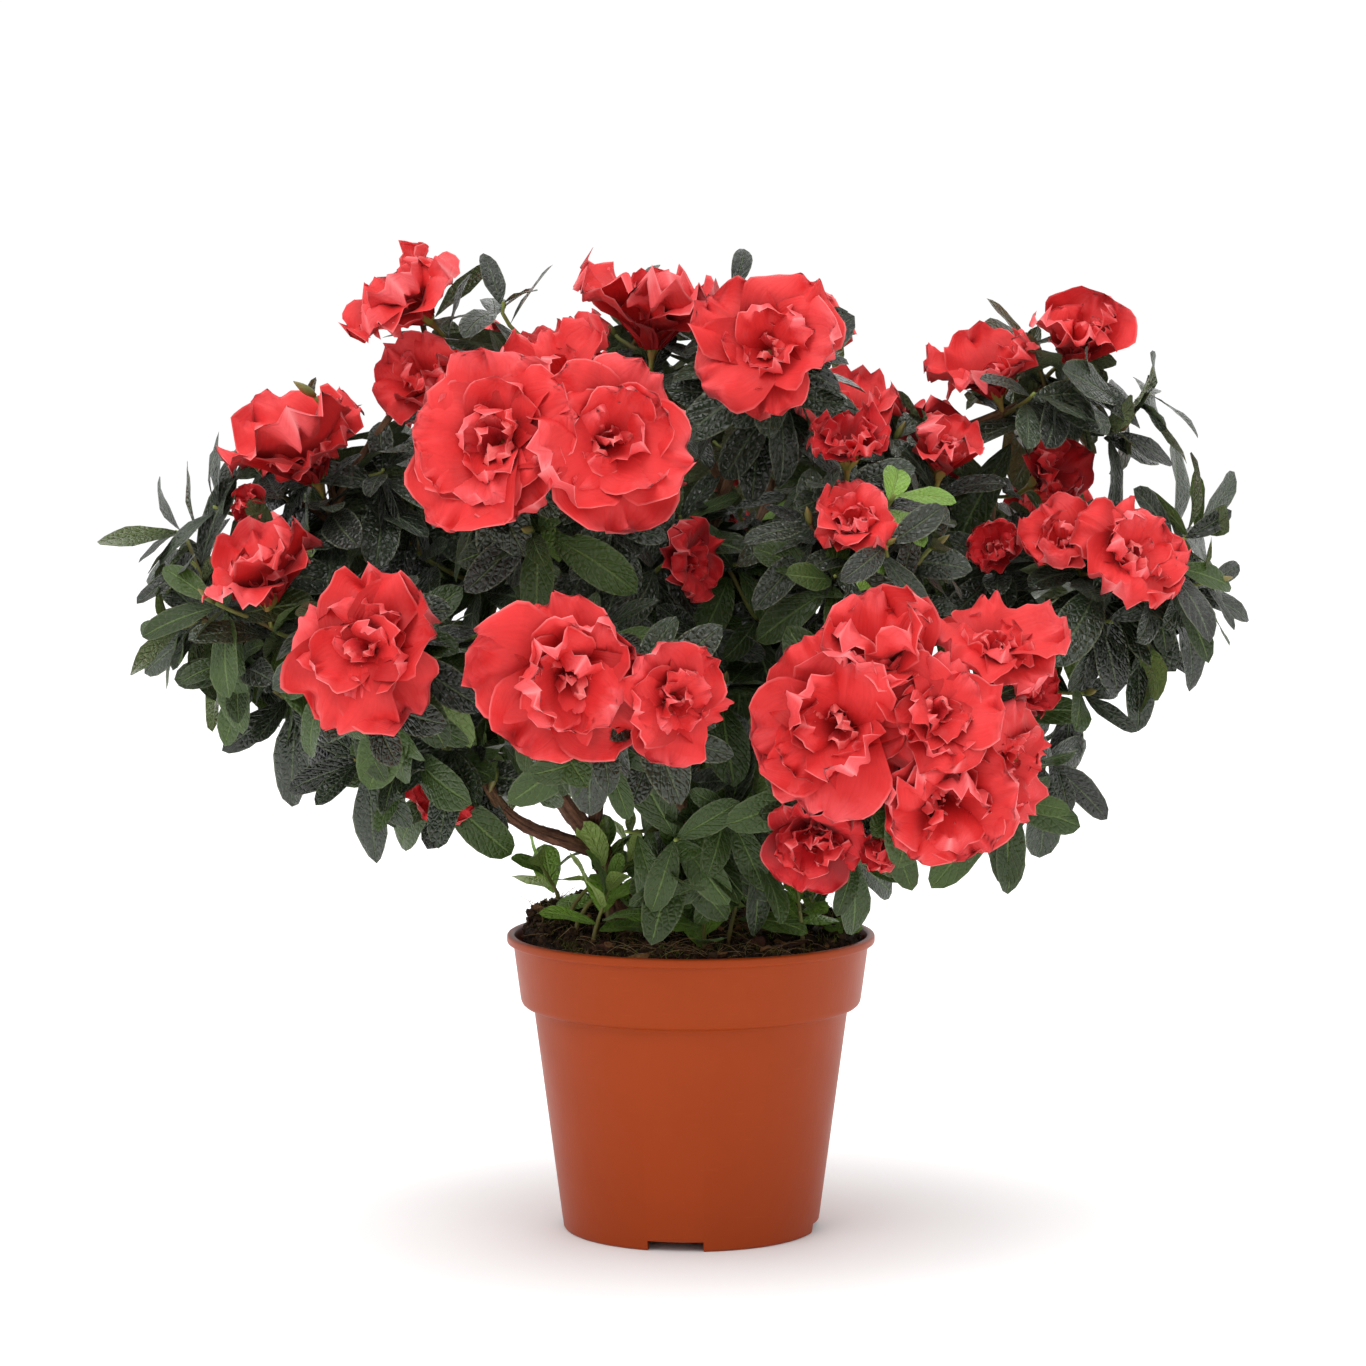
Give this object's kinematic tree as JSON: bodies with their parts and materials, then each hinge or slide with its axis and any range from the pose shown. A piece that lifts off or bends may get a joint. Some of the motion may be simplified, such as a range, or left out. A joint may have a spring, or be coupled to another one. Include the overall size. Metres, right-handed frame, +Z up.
{
  "type": "potted azalea shrub",
  "caption": "Compact evergreen shrub in full bloom, many-stemmed, with ruffled double flowers, standing in a round tapered pot.",
  "frame": {"origin": "centre of the pot's foot, on the surface that it stands on", "axes": "+Z up along the pot's axis, +X along the crown's widest side, -Y towards the crown's open front"},
  "size_m": [0.4245, 0.3267, 0.374],
  "materials": {
    "pot_plastic": "satin terracotta-coloured plastic",
    "peat": "dark crumbly peat with moss and litter",
    "bark": "rough reddish-brown bark",
    "foliage": "leathery dark green leaves, and coral-red blossom"
  },
  "bodies": {
    "root": {"pot": "pot_plastic", "soil": "peat", "stem_left": "bark", "stem_middle": "bark", "stem_right": "bark", "bough_left_low": "bark", "bough_left": "bark", "bough_left_rise": "bark", "bough_back_left": "bark", "bough_front": "bark", "bough_core": "bark", "bough_back": "bark", "bough_right_front": "bark", "bough_right": "bark", "bough_back_right": "bark", "foliage_top_left": "foliage", "foliage_top_middle": "foliage", "foliage_top_right_middle": "foliage", "foliage_top_dip": "foliage", "foliage_top_right": "foliage", "foliage_left_shoulder": "foliage", "foliage_left_fan": "foliage", "foliage_front_left": "foliage", "foliage_left_middle": "foliage", "foliage_front_middle": "foliage", "foliage_left_low": "foliage", "foliage_front_skirt": "foliage", "foliage_right_inside": "foliage", "foliage_right_fan": "foliage", "foliage_right_front": "foliage", "foliage_right_low": "foliage", "foliage_core": "foliage", "foliage_back_top_left": "foliage", "foliage_back_top_right": "foliage", "foliage_back_left": "foliage", "foliage_back_right": "foliage", "foliage_back_middle": "foliage", "foliage_back_left_low": "foliage", "foliage_back_low": "foliage", "foliage_back_right_low": "foliage"}
  },
  "joints": []
}
